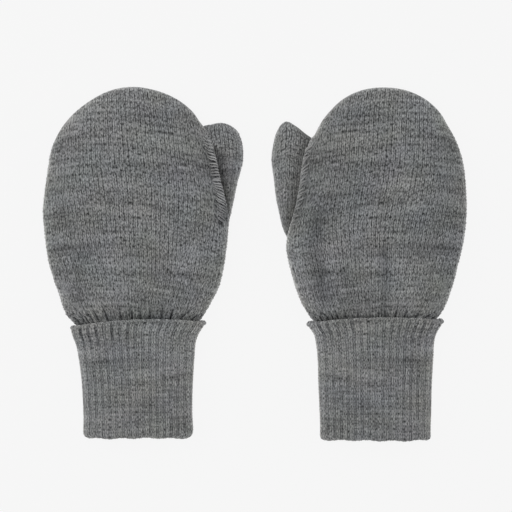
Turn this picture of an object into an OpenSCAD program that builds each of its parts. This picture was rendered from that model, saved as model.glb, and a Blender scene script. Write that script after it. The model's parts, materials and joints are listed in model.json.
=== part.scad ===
// A pair of knitted mittens with turned-back rib cuffs, lying flat side by side, backs up.
// Millimetres. +Y points to the fingertips, +Z up, and the pair is centred on the origin.

/* [Hand] */
// Length of the hand from the cuff's rim to the fingertips
hand_len = 119; // [105:1:140]
// Width of the hand across its widest line
hand_w = 94; // [86:1:102]
// Width of the hand just above the cuff
base_w = 69; // [67:0.5:74]
// Thickness of the hand as it lies
hand_thick = 15; // [14.5:0.5:18]
// Height of the widest line above the cuff's rim, on the little finger's side
wide_outer = 54; // [46:1:60]
// Height of the widest line above the cuff's rim, on the thumb's side
wide_thumb = 47; // [42:1:52]

/* [Thumb] */
// Length of the thumb from its root to its tip
thumb_len = 54.5; // [48:0.5:58]
// How far the thumb stands out past the hand's widest line
thumb_reach = 7; // [5.5:0.5:10]
// Thickness of the thumb
thumb_thick = 11.5; // [11:0.5:13]
// Length of the slit between hand and thumb
slit_len = 20; // [14:1:22]
// Height of the slit between hand and thumb
slit_h = 5; // [4.5:0.5:5.5]

/* [Cuff] */
// Length of the turned-back cuff from its fold to its rim
cuff_len = 61; // [50:1:75]
// Width of the cuff near its fold
cuff_w = 56; // [54:0.5:58]
// Width of the cuff where its rim starts to flare
cuff_top_w = 60; // [59:0.5:62]
// Width of the flared rim
rim_w = 67; // [66:0.5:70]
// Thickness of the cuff as it lies
cuff_thick = 14; // [13.5:0.5:15.5]
// Number of ribs around the cuff
rib_count = 36; // [24:1:36]
// Height of a rib
rib_h = 0.35; // [0.2:0.05:0.5]
// Length of the flare at the rim
flare_len = 9; // [6:0.5:12]

/* [Fabric] */
// Thickness of the jersey shell
shell_wall = 1.4; // [1.1:0.1:1.6]
// Thickness of the lining
lining_wall = 1; // [0.8:0.1:1.2]
// Thickness of one ply of the rib
rib_wall = 1.5; // [1.2:0.1:1.7]
// Air between two plies
ply_gap = 0.3; // [0.25:0.05:0.35]

/* [Seams] */
// Thickness of the cord-like seam beside the thumb
thumb_seam_w = 2.2; // [1.6:0.1:2.6]
// Thickness of the seam that joins hand and cuff
wrist_seam_w = 1.2; // [0.9:0.1:1.5]
// Thickness of the bound-off edge of the rim
edge_w = 1.7; // [1.3:0.1:2]

/* [Pair] */
// Distance between the middle lines of the two mittens
pair_spacing = 123.4; // [120:0.1:150]
// How far the left fingertips lean away from the thumb
left_lean = 0.4; // [0:0.1:4.5]
// How far the right fingertips lean away from the thumb
right_lean = 4; // [0:0.1:4.5]
// How far the left cuff is shifted towards the thumb
left_cuff_shift = 1.7; // [0:0.1:2]
// How far the right cuff is shifted towards the thumb
right_cuff_shift = 0.1; // [0:0.1:2]

/* [Hidden] */

jersey = [0.43, 0.43, 0.43];
rib_knit = [0.46, 0.46, 0.46];
fleece = [0.62, 0.62, 0.62];
thread = [0.36, 0.36, 0.37];

// A mitten's side: its direction along X, its lean and its cuff's shift
left = [-1, left_lean, left_cuff_shift];
right = [1, right_lean, right_cuff_shift];

mitten_len = cuff_len + hand_len;
outer_wide_y = cuff_len + wide_outer;
thumb_wide_y = cuff_len + wide_thumb;
thumb_tip_y = thumb_wide_y + thumb_len;
// The widest part of the thumb lies at this share of its length
thumb_full = 0.7;
thumb_full_y = thumb_wide_y + thumb_full * thumb_len;
slit_low_y = thumb_full_y - 0.75 * slit_len;
slit_high_y = slit_low_y + slit_len;

// Fullness of the cross-sections: 2 is an ellipse, more is boxier
hand_n = 2.6;
thumb_n = 3;
hand_points = 24;
thumb_points = 16;
rib_points = 2 * rib_count;

// Where the seam beside the thumb lies on the hand's cross-section, in degrees up from its edge
seam_angle = 26;
// The thumb's shell starts here, and is hollow from here on
thumb_low_y = thumb_wide_y + 1;
thumb_hollow_y = thumb_wide_y + 0.24 * thumb_len;

// The thumb keeps this much air from the hand, so that it folds up freely
thumb_air = 0.6;
// The hand's wall dives under the rim over this length
tuck = 7.5;
// Its wall reaches full width this far above the rim
puff = 3;
hand_low_y = cuff_len - tuck;
puff_y = cuff_len + puff;
// The lowest plies lie this much flattened on the table
sag = 0.3;

// All the plies of the hand's wall, and how far inside them the slit starts and ends
plies = shell_wall + ply_gap + lining_wall;
slit_margin = 1.2;

// Height and half width of the hollow that the turned-back ply leaves
nest_w = cuff_w / 2 - rib_wall;
nest_h = cuff_thick / 2 - rib_wall;
leg_w = nest_w - ply_gap;
leg_h = nest_h - ply_gap;
leg_low_y = rib_wall + ply_gap;
leg_high_y = hand_low_y - wrist_seam_w - 2 * ply_gap;
edge_y = cuff_len - edge_w / 2;
// The cuff stays wider where its flare starts than near its fold
cuff_head_w = max(cuff_top_w, cuff_w + 2);
turnback_high_y = cuff_len - edge_w - 0.1;
rim_thick = cuff_thick + 0.8;

// ---- Skins through rings of points ----

// Triangles between ring a and ring b, each of n points
function band(a, b, n) = [
    for (i = [0 : n - 1])
        let (j = (i + 1) % n)
            each [[a * n + i, b * n + i, b * n + j], [a * n + i, b * n + j, a * n + j]],
];

// A closed skin with both end rings filled
module capped_skin(rings) {
    n = len(rings[0]);
    last = len(rings) - 1;
    polyhedron(
        points = [for (ring = rings) each ring],
        faces = concat(
            [[for (i = [0 : n - 1]) i]],
            [for (k = [0 : last - 1]) each band(k, k + 1, n)],
            [[for (i = [n - 1 : -1 : 0]) last * n + i]]
        )
    );
}

// A closed skin whose last ring meets its first, such as an open tube with a wall
module looped_skin(rings) {
    n = len(rings[0]);
    count = len(rings);
    polyhedron(
        points = [for (ring = rings) each ring],
        faces = [for (k = [0 : count - 1]) each band(k, (k + 1) % count, n)]
    );
}

function backwards(list) = [for (i = [len(list) - 1 : -1 : 0]) list[i]];

// A smooth step from 0 at t = 0 to 1 at t = 1
function eased(t) = let (c = min(1, max(0, t))) c * c * (3 - 2 * c);

function signed_pow(v, p) = sign(v) * pow(abs(v), p);

// ---- Hand ----

// Middle line of the mitten at y: it leans towards the tip and shifts towards the cuff
function middle(y, side) =
    y > outer_wide_y
        ? -side[1] * pow((y - outer_wide_y) / (mitten_len - outer_wide_y), 1.5)
        : side[2] * eased((outer_wide_y - y) / (outer_wide_y - puff_y));

// Half width above the widest line, closing at the tip; inset draws the outline in by that much
function crown(y, wide_y, p, q, inset) =
    let (t = min(1, (y - wide_y) / (mitten_len - inset - wide_y)))
        (hand_w / 2 - inset) * pow(1 - pow(t, p), 1 / q);

// Half width of the wall from the widest line down to the part tucked under the rim
function taper(y, wide_y, inset) =
    let (
        full = hand_w / 2 - inset,
        base = base_w / 2 - inset,
        tucked = leg_w - inset
    )
        y > puff_y
            ? full - (full - base) * pow((wide_y - y) / (wide_y - puff_y), 2)
            : lookup(y, [
                [hand_low_y, tucked],
                [cuff_len - 3.5, tucked + 1],
                [cuff_len + 0.4, tucked + 3],
                [puff_y, base],
            ]);

function outer_half(y, inset) =
    y > outer_wide_y ? crown(y, outer_wide_y, 2.6, 1.9, inset) : taper(y, outer_wide_y, inset);

function thumb_half(y, inset) =
    y > thumb_wide_y ? crown(y, thumb_wide_y, 1.4, 3, inset) : taper(y, thumb_wide_y, inset);

// Lowest and highest level of the hand at y: both plies rise from the rim and close at the tip
function hand_low(y) = (rib_wall + ply_gap) * (1 - eased((y - cuff_len - 0.6) / 5));

function hand_high(y) =
    let (tucked = cuff_thick - rib_wall - ply_gap)
        tucked + (hand_thick - tucked) * eased((y - hand_low_y) / (tuck + 12));

// Share of the thickness that is left at y as the tip closes
function closing(y, inset) =
    let (from = mitten_len - 52, t = max(0, (y - from) / (mitten_len - inset - from)))
        sqrt(max(0, 1 - pow(t, 2.4)));

function hand_ring(y, side, inset) =
    let (
        low = hand_low(y) + inset,
        high = hand_high(y) - inset,
        half = (high - low) / 2 * closing(y, inset),
        flat = min(sag, half / 3)
    )
        [
            for (i = [0 : hand_points - 1])
                let (
                    a = 360 * i / hand_points,
                    u = signed_pow(cos(a), 2 / hand_n),
                    v = signed_pow(sin(a), 2 / hand_n),
                    w = u > 0 ? thumb_half(y, inset) : outer_half(y, inset)
                )
                    [middle(y, side) + w * u, y, max(low, low + half - flat + (half + flat) * v)],
        ];

// Heights of the rings: close together at the cuff, and by an arc over the fingertips
function hand_heights(from, inset) =
    concat(
        [for (y = [hand_low_y, cuff_len - 3.5, cuff_len + 0.4, puff_y, puff_y + 5, puff_y + 18]) if (y > from) y],
        [
            for (a = [0, 22, 42, 56, 67, 76, 83, 88])
                let (start = thumb_wide_y - 12)
                    start + (mitten_len - inset - start) * sin(a),
        ]
    );

// A cup of fabric: an outer wall closed at the tip and an inner wall a ply's thickness inside it
module hand_cup(side, low_y, inset, wall) {
    outside = concat([hand_ring(low_y, side, inset)],
                     [for (y = hand_heights(low_y, inset)) hand_ring(y, side, inset)]);
    inside = concat([hand_ring(low_y, side, inset + wall)],
                    [for (y = hand_heights(low_y, inset + wall)) hand_ring(y, side, inset + wall)]);
    capped_skin(concat(backwards(outside), inside));
}

// The slit through which the thumb goes, from inside the hand to inside the thumb
module thumb_slit(side) {
    x_low = middle(slit_high_y, side) + thumb_half(slit_high_y, plies) - slit_margin;
    x_high = thumb_inner_x(slit_low_y, side, plies) + slit_margin;
    translate([x_low, slit_low_y, (thumb_thick - slit_h) / 2])
        cube([x_high - x_low, slit_len, slit_h]);
}

module hand_shell(side) {
    color(jersey) place(side) difference() {
        hand_cup(side, hand_low_y, 0, shell_wall);
        thumb_slit(side);
    }
}

module hand_lining(side) {
    color(fleece) place(side) difference() {
        hand_cup(side, hand_low_y + 1, shell_wall + ply_gap, lining_wall);
        thumb_slit(side);
    }
}

// ---- Thumb ----

function thumb_inner_x(y, side, inset) = middle(y, side) + thumb_half(y, 0) + thumb_air + inset;

// The thumb's free edge swells from its root to its full width and closes in a blunt tip
function thumb_outer_x(y, side, inset) =
    let (
        full = hand_w / 2 + thumb_reach,
        root = hand_w / 2 + thumb_air + 0.8,
        tip = thumb_inner_x(thumb_tip_y, side, 0),
        end_y = thumb_tip_y - inset
    )
        (y < thumb_full_y
            ? root + (full - root) * sin(90 * (y - thumb_wide_y) / (thumb_full_y - thumb_wide_y))
            : tip + (full - tip) * pow(1 - pow(min(1, (y - thumb_full_y) / (end_y - thumb_full_y)), 4), 0.4))
        - inset;

// Share of the thumb's thickness that is left at y as its tip closes
function thumb_closing(y, inset) =
    let (t = max(0, (y - thumb_full_y) / (thumb_tip_y - inset - thumb_full_y)))
        sqrt(max(0, 1 - pow(t, 3.5)));

function thumb_ring(y, side, inset) =
    let (
        near = thumb_inner_x(y, side, inset),
        far = max(near + 0.3, thumb_outer_x(y, side, inset)),
        half = (thumb_thick / 2 - inset) * thumb_closing(y, inset),
        flat = min(sag, half / 3)
    )
        [
            for (i = [0 : thumb_points - 1])
                let (
                    a = 360 * i / thumb_points,
                    u = signed_pow(cos(a), 2 / thumb_n),
                    v = signed_pow(sin(a), 2 / thumb_n)
                )
                    [
                        (near + far + (far - near) * u) / 2,
                        y,
                        max(inset, inset + half - flat + (half + flat) * v),
                    ],
        ];

// A closed solid of the thumb's form from low_y up to its tip, drawn in by inset
module thumb_form(side, low_y, inset) {
    reach = thumb_tip_y - inset - low_y;
    capped_skin([
        for (a = [88, 80, 70, 58, 46, 34, 22, 11, 0]) thumb_ring(low_y + reach * sin(a), side, inset),
    ]);
}

module thumb_shell(side) {
    color(jersey) place(side) difference() {
        thumb_form(side, thumb_low_y, 0);
        thumb_form(side, thumb_hollow_y, shell_wall);
        thumb_slit(side);
    }
}

module thumb_lining(side) {
    color(fleece) place(side) difference() {
        thumb_form(side, thumb_hollow_y + ply_gap, shell_wall + ply_gap);
        thumb_form(side, thumb_hollow_y + ply_gap + 3 * lining_wall, plies);
        thumb_slit(side);
    }
}

// The cord-like seam that lies along the hand's edge above the thumb
module thumb_seam(side) {
    points = 6;
    r = thumb_seam_w / 2;
    rise = r + ply_gap;
    from = thumb_wide_y + 1;
    count = 12;
    color(thread) place(side) capped_skin([
        for (k = [count : -1 : 0])
            let (
                y = from + (thumb_tip_y - 7 - from) * k / count,
                half = (hand_high(y) - hand_low(y)) / 2 * closing(y, 0),
                x = middle(y, side) + (thumb_half(y, 0) + rise) * signed_pow(cos(seam_angle), 2 / hand_n),
                z = hand_low(y) + half - sag + (half + sag + rise) * signed_pow(sin(seam_angle), 2 / hand_n),
                thick = r * (k == 0 || k == count ? 0.5 : 1)
            )
                [for (i = [0 : points - 1]) let (a = 360 * i / points) [x + thick * cos(a), y, z + thick * sin(a)]],
    ]);
}

// ---- Cuff ----

// Point on a flattened tube at a share u of its way round: two straights joined by half circles
function tube_point(u, half_w, half_h) =
    let (
        straight = 2 * (half_w - half_h),
        bend = PI * half_h,
        s = u * 2 * (straight + bend),
        turned = s > bend + straight,
        d = turned ? s - bend - straight : s,
        a = 180 * min(1, d / bend) - 90,
        x = straight / 2 + half_h * cos(a) - max(0, d - bend),
        z = half_h * sin(a)
    )
        turned ? [-x, -z] : [x, z];

// A ring of the tube at y, with its ribs raised where rib is above 0
function tube_ring(y, side, half_w, half_h, level, rib) = [
    for (i = [0 : rib_points - 1])
        let (lift = i % 2 == 0 ? rib : 0, p = tube_point((i + 0.5) / rib_points, half_w + lift, half_h + lift))
            [side[2] + p[0], y, max(0, level + p[1])],
];

// Half width and half thickness of the turned-back ply's outside, from the fold to the rim
function turnback_w(y) = lookup(y, [
    [0, cuff_w / 2 - 0.7],
    [rib_wall, cuff_w / 2],
    [cuff_len * 0.4, cuff_w / 2],
    [cuff_len - flare_len, cuff_head_w / 2],
    [cuff_len - flare_len * 0.5, cuff_head_w / 2 + (rim_w - cuff_head_w) * 0.15],
    [turnback_high_y, rim_w / 2],
]);

function turnback_h(y) = lookup(y, [
    [0, cuff_thick / 2 - 0.7],
    [rib_wall, cuff_thick / 2],
    [cuff_len - flare_len, cuff_thick / 2],
    [turnback_high_y, rim_thick / 2],
]);

module cuff_turnback(side) {
    outside = [
        for (y = [0, rib_wall, cuff_len * 0.4, cuff_len - flare_len, cuff_len - flare_len * 0.5, turnback_high_y])
            tube_ring(y, side, turnback_w(y), turnback_h(y), turnback_h(y), rib_h),
    ];
    // The fold turns in under the inner ply's end, so its lip is as wide as both plies
    lip = rib_wall * 2 + ply_gap;
    lip_rings = [
        for (y = [0.4, rib_wall])
            tube_ring(y, side, cuff_w / 2 - lip, cuff_thick / 2 - lip, cuff_thick / 2, 0),
    ];
    inside = [
        for (y = [rib_wall + 0.01, cuff_len * 0.4, cuff_len - flare_len, cuff_len - flare_len * 0.5, turnback_high_y])
            tube_ring(y, side, turnback_w(y) - rib_wall, turnback_h(y) - rib_wall, turnback_h(y), 0),
    ];
    color(rib_knit) place(side) looped_skin(concat(backwards(outside), lip_rings, inside));
}

// A cord round the tube at y, of the tube's own form
module tube_cord(side, y, half_w, half_h, level, r) {
    looped_skin([
        for (b = [0 : 72 : 288])
            tube_ring(y + r * sin(b), side, half_w + r * cos(b), half_h + r * cos(b), level, 0),
    ]);
}

module cuff_edge(side) {
    half_w = rim_w / 2 - rib_wall / 2;
    color(rib_knit * 1.1) place(side)
        tube_cord(side, edge_y, half_w, rim_thick / 2 - edge_w / 2, rim_thick / 2, edge_w / 2);
}

module cuff_inner(side) {
    outside = [
        for (y = [leg_low_y, leg_high_y]) tube_ring(y, side, leg_w, leg_h, cuff_thick / 2, 0),
    ];
    inside = [
        for (y = [leg_low_y, leg_high_y])
            tube_ring(y, side, leg_w - rib_wall, leg_h - rib_wall, cuff_thick / 2, 0),
    ];
    color(rib_knit) place(side) looped_skin(concat(backwards(outside), inside));
}

module wrist_seam(side) {
    r = wrist_seam_w / 2;
    color(thread) place(side)
        tube_cord(side, leg_high_y + ply_gap + r, leg_w - rib_wall / 2, leg_h - rib_wall / 2, cuff_thick / 2, r);
}

// A mitten is drawn with its thumb towards +X, its fold at y = 0, and set in its place; the right one is mirrored
module place(side) {
    translate([side[0] * pair_spacing / 2, -mitten_len / 2, 0])
        if (side[0] > 0) mirror([1, 0, 0]) children();
        else children();
}

hand_shell(left);  // left_hand_shell
hand_lining(left);  // left_hand_lining
thumb_seam(left);  // left_thumb_seam
wrist_seam(left);  // left_wrist_seam
cuff_inner(left);  // left_cuff_inner
thumb_shell(left);  // left_thumb_shell
thumb_lining(left);  // left_thumb_lining
cuff_turnback(left);  // left_cuff_turnback
cuff_edge(left);  // left_cuff_edge
hand_shell(right);  // right_hand_shell
hand_lining(right);  // right_hand_lining
thumb_seam(right);  // right_thumb_seam
wrist_seam(right);  // right_wrist_seam
cuff_inner(right);  // right_cuff_inner
thumb_shell(right);  // right_thumb_shell
thumb_lining(right);  // right_thumb_lining
cuff_turnback(right);  // right_cuff_turnback
cuff_edge(right);  // right_cuff_edge
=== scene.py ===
# %% [markdown]
# A pair of children's knitted mittens
# ====================================
# The pair lies flat, backs up, on a pale table. Each mitten is a loose jersey bag with a
# thumb that is partly under the hand, and a ribbed cuff that is turned back on itself.
# Knitted cloth is all small relief: thousands of loops in columns (wales) and rows
# (courses). One could paint that relief with bump alone, but its edges would stay smooth
# and its shadows would be missing. Here each loop is real mesh, and the shader adds only
# the fibres, which are finer than any mesh.

# %% Load the fixed frame
import bmesh
import bpy
import numpy as np
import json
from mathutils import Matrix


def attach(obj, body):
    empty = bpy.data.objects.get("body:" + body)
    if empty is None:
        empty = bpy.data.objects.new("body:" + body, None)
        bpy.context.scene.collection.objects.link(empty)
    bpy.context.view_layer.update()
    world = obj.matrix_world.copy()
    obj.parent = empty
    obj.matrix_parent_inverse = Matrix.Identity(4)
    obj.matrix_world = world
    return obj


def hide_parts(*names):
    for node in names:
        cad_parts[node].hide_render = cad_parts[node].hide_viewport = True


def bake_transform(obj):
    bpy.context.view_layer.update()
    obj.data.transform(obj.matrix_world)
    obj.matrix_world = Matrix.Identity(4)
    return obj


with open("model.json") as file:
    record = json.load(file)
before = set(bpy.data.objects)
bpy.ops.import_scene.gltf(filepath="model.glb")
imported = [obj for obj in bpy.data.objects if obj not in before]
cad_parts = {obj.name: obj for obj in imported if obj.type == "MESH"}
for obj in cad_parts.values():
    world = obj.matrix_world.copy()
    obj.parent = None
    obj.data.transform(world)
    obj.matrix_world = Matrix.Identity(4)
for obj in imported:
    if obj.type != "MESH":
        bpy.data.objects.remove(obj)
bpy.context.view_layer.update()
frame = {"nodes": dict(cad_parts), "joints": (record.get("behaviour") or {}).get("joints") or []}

# %% [markdown]
# All sizes below are in millimetres in a mitten's own frame: x goes towards the thumb,
# y from the cuff's fold to the fingertips, z up from the table. One function puts a
# mitten's points in their place in the pair; the right mitten is the mirror image.

# %% Units, the two sides and small helpers
MM = 0.001
HALF_SPACING = 61.7
FOLD_Y = -90.0
DIRECTION = {"left": -1, "right": 1}
RANDOM = np.random.default_rng(11)


def in_pair(side, points):
    """Points of a mitten's own frame, in millimetres, to the pair's frame, in metres."""
    placed = np.array(points, float)
    placed[..., 0] = DIRECTION[side] * (HALF_SPACING - placed[..., 0])
    placed[..., 1] += FOLD_Y
    return placed * MM


def new_object(name, data):
    made = bpy.data.objects.new(name, data)
    bpy.context.scene.collection.objects.link(made)
    return made


def set_sockets(sockets, values):
    for name, value in values.items():
        sockets[name].default_value = value


# %% [markdown]
# The camera and the light come first, so that each piece can be looked at as soon as it
# is made. The pair is seen from straight above with a long lens, which keeps its outline
# free of perspective. The light is that of a white light tent: it comes from everywhere,
# a little more from the left, so that the depth of the knitting draws shadows; painted
# shade in the yarn's colour deepens them.

# %% Camera
LENS, SENSOR = 120.0, 36.0
VIEW_WIDTH = 262.1
VIEW_CENTRE = (0.67, 3.69)
MIDDLE_HEIGHT = 8
camera_data = bpy.data.cameras.new("camera")
camera_data.lens, camera_data.sensor_width = LENS, SENSOR
camera = new_object("camera", camera_data)
camera.location = np.array((*VIEW_CENTRE, VIEW_WIDTH * LENS / SENSOR + MIDDLE_HEIGHT)) * MM
bpy.context.scene.camera = camera
bpy.context.scene.view_settings.view_transform = "Standard"

# %% Light tent
TENT_STRENGTH = 0.68
LAMP_SIZE = 0.5
# Each lamp's place in metres, its power in watts and its tilt
LAMPS = {
    "overhead": ((-0.14, 0.05, 0.5), 1.2, (-0.1, -0.27, 0)),
    "left side": ((-0.7, 0.2, 0.35), 2.5, (-0.25, -1.1, 0)),
    "right side": ((0.7, 0.2, 0.35), 1.8, (-0.25, 1.1, 0)),
}
world = bpy.data.worlds.new("tent")
world.use_nodes = True
set_sockets(world.node_tree.nodes["Background"].inputs, {"Color": (1, 1, 1, 1), "Strength": TENT_STRENGTH})
bpy.context.scene.world = world
for name, (place, power, tilt) in LAMPS.items():
    light = bpy.data.lights.new(name, "AREA")
    light.shape, light.size, light.energy = "SQUARE", LAMP_SIZE, power
    lamp = new_object(name, light)
    lamp.location, lamp.rotation_euler = place, tilt


# %% Node helpers
def shader(name):
    """A new material, functions that add a node, a sum or a vector sum, and the surface's sockets."""
    material = bpy.data.materials.new(name)
    material.use_nodes = True
    tree = material.node_tree

    def add(kind, inputs=(), **settings):
        node = tree.nodes.new("ShaderNode" + kind)
        for key, value in settings.items():
            setattr(node, key, value)
        for key, value in dict(inputs).items():
            if isinstance(value, bpy.types.NodeSocket):
                tree.links.new(value, node.inputs[key])
            else:
                node.inputs[key].default_value = value
        return node

    def calc(operation, *values):
        return add("Math", dict(enumerate(values)), operation=operation).outputs[0]

    def vector(operation, *values, **named):
        return add("VectorMath", {**dict(enumerate(values)), **named}, operation=operation).outputs[0]

    return material, add, calc, vector, tree.nodes["Principled BSDF"].inputs


# %% [markdown]
# The yarn is a heather grey: dark and light fibres are spun together, so no two loops have
# the same tone. The shader counts in stitches, by the piece's own UV map. A random tone
# for each leg of a loop, streaks of fibre along it and slow bands of tone from course to
# course are multiplied into one grey. The sheen stands for the fuzz of the wool, which
# lightens every edge.


# %% Yarn material
def yarn_material(name, grey, wales=1.0, start=0.0, shut=0.0, gap=0.8, vee=0.6, run=1.0, dash=3.0, streak=0.5,
                  marl=1.0, fuzz=1.0):
    """A heather yarn. A unit of the UV map has some wales, the first of them a start away from its edge. Gap and vee
    say how much painted shade the gaps between wales and the middles of the Vs get, shut how much less of it every
    third gap gets, and 1 / run for how many courses a gap stays so. Dash and streak say how mixed the fibres are
    within a loop and along a wale, marl how mixed they are in all, and fuzz how hairy the yarn is."""
    material, add, calc, vector, surface = shader(name)
    uv = add("UVMap", uv_map="stitches").outputs["UV"]
    place = add("TexCoord").outputs["Object"]

    def scaled(x, y, dx=0.0):
        return vector("MULTIPLY_ADD", uv, (x * wales, y, 1), (dx + x * start, 0, 0))

    def noise(at, detail=1.0, rough=0.5):
        inputs = {"Vector": at, "Scale": 1.0, "Detail": detail, "Roughness": rough}
        return calc("SUBTRACT", add("TexNoise", inputs, noise_dimensions="2D").outputs["Fac"], 0.5)

    def random_in_cell(at):
        return add("TexWhiteNoise", {"Vector": vector("FLOOR", at)}, noise_dimensions="2D").outputs["Value"]

    def sure(value):
        return add("Clamp", {0: value}).outputs[0]

    def times(a, b):
        return calc("MULTIPLY", a, b)

    # Where the point lies in its loop: 0 in the middle of the V, 0.5 between two columns
    column = add("SeparateXYZ", {0: scaled(1, 1)}).outputs
    off_centre = calc("ABSOLUTE", calc("SUBTRACT", calc("FRACT", column[0]), 0.5))
    between = sure(calc("MULTIPLY_ADD", off_centre, 6.0, -2.0))
    inside_v = sure(calc("MULTIPLY_ADD", off_centre, -8.0, 1.0))
    number = calc("MODULO", calc("FLOOR", calc("ADD", column[0], 0.5)), 3.0)
    third_gap_shade = calc("MULTIPLY_ADD", calc("COMPARE", number, 2.0, 0.1), -shut, 1.0)
    # Painted shade in the gaps between wales and in the middles of the Vs: some gaps get much of it, others little
    gap_shade_share = calc("MULTIPLY_ADD", random_in_cell(scaled(1, run, 0.5)), 0.8, 0.2)
    gap_shade_share = sure(calc("MULTIPLY_ADD", noise(scaled(0.3, 0.35)), 1.2, gap_shade_share))
    vee_shade_share = sure(calc("MULTIPLY_ADD", random_in_cell(scaled(1, 1, 7.0)), 1.3, -0.3))
    dark_gap = times(times(between, third_gap_shade), times(gap_shade_share, gap))
    dark = calc("MAXIMUM", dark_gap, times(inside_v, times(vee_shade_share, vee)))
    tone = calc("SUBTRACT", 1.0, dark)

    # The swings of tone: each has a source, a weight, and the source's mean
    fibre = noise(scaled(9, 2.6), 2.0, 0.7)
    climb = times(column[1], 0.12)
    strand = add("CombineXYZ", {0: times(column[0], 1.7), 1: climb}).outputs[0]
    blotch = add("TexNoise", {"Vector": place, "Scale": 45.0, "Detail": 2.0}).outputs["Fac"]
    swings = (
        (random_in_cell(scaled(2, 1)), 0.3 * marl, 0.5),
        (noise(scaled(3.5, 1.15)), dash, 0),
        (noise(strand), streak, 0),
        (noise(scaled(1.2, 0.7)), 0.4 * marl, 0),
        (fibre, marl, 0),
        (noise(scaled(0.06, 0.8)), 0.9 * marl, 0),
        (noise(scaled(0.04, 0.25), 2.0, 0.6), 0.8 * marl, 0),
        (blotch, 0.2 * marl, 0.5),
    )
    for source, weight, mean in swings:
        tone = times(tone, calc("MULTIPLY_ADD", source, weight, 1 - mean * weight))
    # Light fibres are never far above the mean, dark ones may be
    excess = calc("MAXIMUM", calc("SUBTRACT", tone, 0.85), 0.0)
    tone = calc("SUBTRACT", tone, times(times(excess, excess), 0.3))
    # Painted shade: hollows and creases keep less light than the mesh alone would show; the sides get painted light
    relief = add("Attribute", attribute_name="relief").outputs["Fac"]
    kept = calc("MAXIMUM", calc("MULTIPLY_ADD", relief, 0.35, 0.65), 0.25)
    tone = times(tone, kept)
    # The dye leans a little to green here and to blue there, and the painted shade in hollows is bluer
    lean = add("TexNoise", {"Vector": place, "Scale": 55.0, "Detail": 1.0}).outputs["Color"]
    dye_and_shade_tint = vector("MULTIPLY_ADD", lean, (0.1, 0.0, 0.16), (0.951, 1.0, 0.909))
    dye_and_shade_tint = vector("ADD", dye_and_shade_tint, vector("SCALE", (-0.03, 0.0, 0.06), Scale=calc("SUBTRACT", 1.0, kept)))
    colour = vector("SCALE", vector("MULTIPLY", dye_and_shade_tint, grey), Scale=tone)
    material.node_tree.links.new(colour, surface["Base Color"])
    # Single fibres and the gaps' rims are bump
    height = calc("MULTIPLY_ADD", fibre, 0.5, times(dark, -0.5))
    bump = add("Bump", {"Height": height, "Strength": 0.5, "Distance": 0.0003}).outputs["Normal"]
    material.node_tree.links.new(bump, surface["Normal"])
    set_sockets(surface, {"Roughness": 0.95, "Specular IOR Level": 0.12, "Sheen Weight": fuzz, "Sheen Roughness": 0.35,
                          "Sheen Tint": (0.9, 0.9, 0.92, 1)})
    return material


# %% The yarns of the pair
JERSEY = yarn_material("heather_jersey", (0.192, 0.196, 0.197), run=0.7)
THUMB = yarn_material("heather_thumb", (0.194, 0.198, 0.199), gap=1.0, vee=0.4, run=0.35, dash=2.8, streak=0.7)
RIB = yarn_material("heather_rib", (0.176, 0.179, 0.180), wales=3.0, start=0.5, shut=0.5, vee=0.0, run=0.3, dash=3.6,
                    streak=0.8)
EDGE = yarn_material("bound_off_edge", (0.188, 0.191, 0.192), gap=0.5, vee=0.2, dash=2.2)
THREAD = yarn_material("overcast_thread", (0.208, 0.211, 0.213), gap=0.2, vee=0.1, dash=1.4)
FLEECE = yarn_material("fleece_lining", (0.36, 0.36, 0.36), gap=0.1, vee=0.1, dash=0.8, marl=0.7, fuzz=0.5)
for name, node in frame["nodes"].items():
    node.data.materials.clear()
    node.data.materials.append(THREAD if "seam" in name else FLEECE if "lining" in name else JERSEY)

# %% Table
TABLE_SIZE = 3.0
TABLE_GLOW = 0.898
bm = bmesh.new()
bmesh.ops.create_grid(bm, x_segments=2, y_segments=2, size=TABLE_SIZE)
table_mesh = bpy.data.meshes.new("table")
bm.to_mesh(table_mesh)
bm.free()
table = new_object("table", table_mesh)
pale, *_, surface = shader("pale_table")
set_sockets(surface, {"Base Color": (0.02, 0.02, 0.02, 1), "Roughness": 1.0, "Specular IOR Level": 0.0,
                      "Emission Color": (1, 1, 1, 1), "Emission Strength": TABLE_GLOW})
table_mesh.materials.append(pale)

# %% [markdown]
# A mitten's outline is drawn as a dressmaker draws it: a few points where the line
# changes, joined by a smooth curve. The pair is nearly a mirror image, but each mitten
# has been worn and laid down by hand, so each keeps its own points.

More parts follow.
